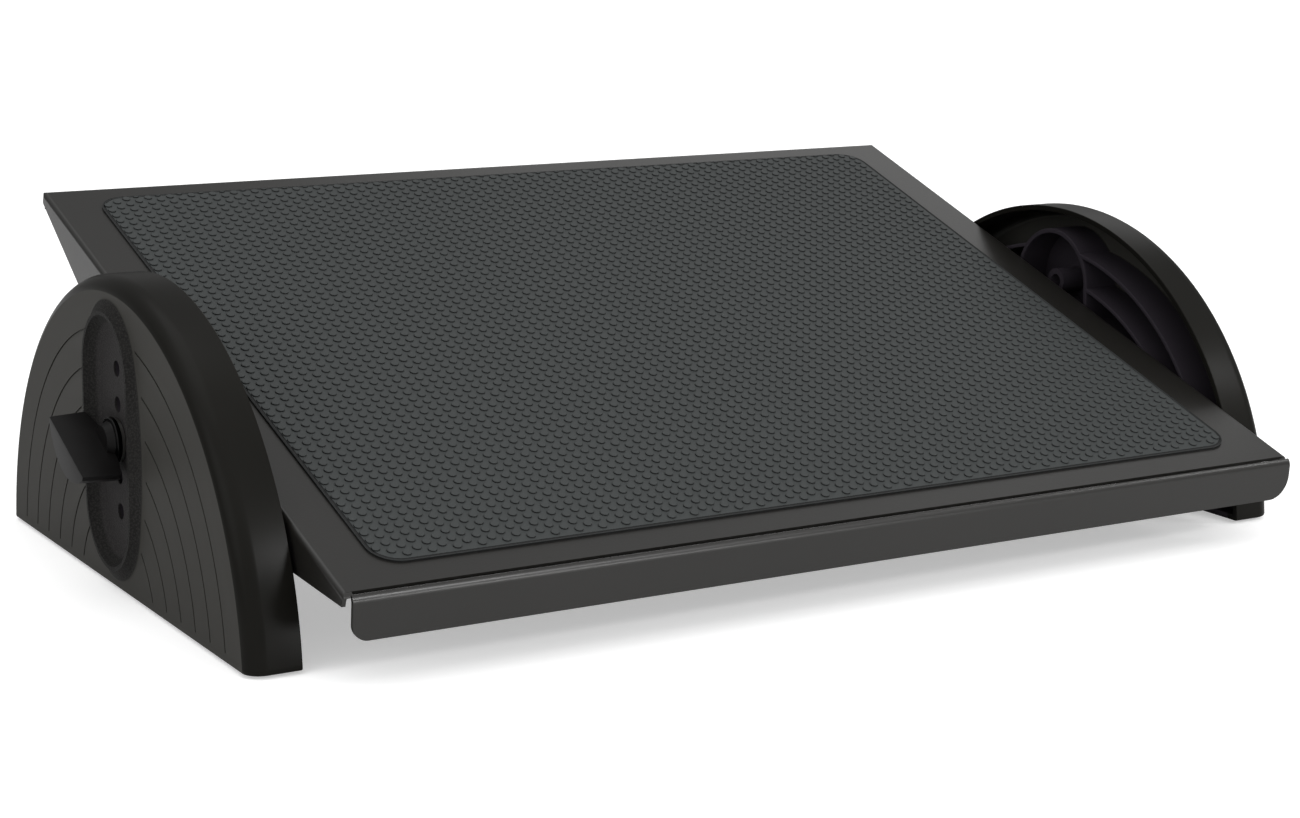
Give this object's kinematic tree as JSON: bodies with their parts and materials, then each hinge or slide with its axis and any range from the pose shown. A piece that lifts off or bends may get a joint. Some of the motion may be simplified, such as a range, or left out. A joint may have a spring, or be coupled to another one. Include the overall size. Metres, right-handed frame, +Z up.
{
  "type": "tilting under desk footrest",
  "caption": "Free-standing footrest: a studded rubber mat on a folded metal platform that tilts between two half-round stands, clamped by a knob at each side.",
  "frame": {"origin": "on the floor, in the middle of the whole footrest's box, under the platform", "axes": "+Z up, +X to the user's right along the pivot axis, the user sits at -Y and the platform rises towards +Y"},
  "size_m": [0.5346, 0.3206, 0.1422],
  "materials": {
    "stand_plastic": "fine satin moulding, grained in the pocket",
    "pad_rubber": "matt",
    "deck_paint": "satin powder coat",
    "adhesive_foam": "matt",
    "mat_rubber": "matt, round studs in staggered rows",
    "bare_steel": "zinc plated",
    "spacer_nylon": "smooth",
    "knob_plastic": "satin wing, glossy hub"
  },
  "bodies": {
    "stands": {"left_stand": "stand_plastic", "left_front_foot_pad": "pad_rubber", "left_rear_foot_pad": "pad_rubber", "right_stand": "stand_plastic", "right_front_foot_pad": "pad_rubber", "right_rear_foot_pad": "pad_rubber"},
    "platform": {"platform_deck": "deck_paint", "mat_adhesive": "adhesive_foam", "grip_mat": "mat_rubber", "left_doubler": "bare_steel", "left_weld_nut": "bare_steel", "left_pivot_spacer": "spacer_nylon", "right_doubler": "bare_steel", "right_weld_nut": "bare_steel", "right_pivot_spacer": "spacer_nylon"},
    "left_washer": {"left_knob_washer": "bare_steel"},
    "left_knob": {"left_knob_bolt": "bare_steel", "left_knob_grip": "knob_plastic"},
    "right_washer": {"right_knob_washer": "bare_steel"},
    "right_knob": {"right_knob_bolt": "bare_steel", "right_knob_grip": "knob_plastic"}
  },
  "joints": [
    {"name": "platform_tilt", "type": "hinge", "parent": "stands", "child": "platform", "pos_m": [0, 0.00793, 0.0617], "axis": [1, 0, 0], "range_deg": [-46, 6]},
    {"name": "left_knob_travel", "type": "slide", "parent": "platform", "child": "left_washer", "axis": [-1, 0, 0], "range_m": [0, 0.005]},
    {"name": "left_knob_turn", "type": "hinge", "parent": "left_washer", "child": "left_knob", "pos_m": [-0.2485, 0.00793, 0.0617], "axis": [-1, 0, 0], "range_deg": [0, 1800]},
    {"name": "right_knob_travel", "type": "slide", "parent": "platform", "child": "right_washer", "axis": [1, 0, 0], "range_m": [0, 0.005]},
    {"name": "right_knob_turn", "type": "hinge", "parent": "right_washer", "child": "right_knob", "pos_m": [0.2485, 0.00793, 0.0617], "axis": [1, 0, 0], "range_deg": [0, 1800]}
  ],
  "couplings": [
    {"joint": "left_knob_turn", "follows": "left_knob_travel", "rad_per_m": 6283.2},
    {"joint": "right_knob_turn", "follows": "right_knob_travel", "rad_per_m": 6283.2}
  ]
}
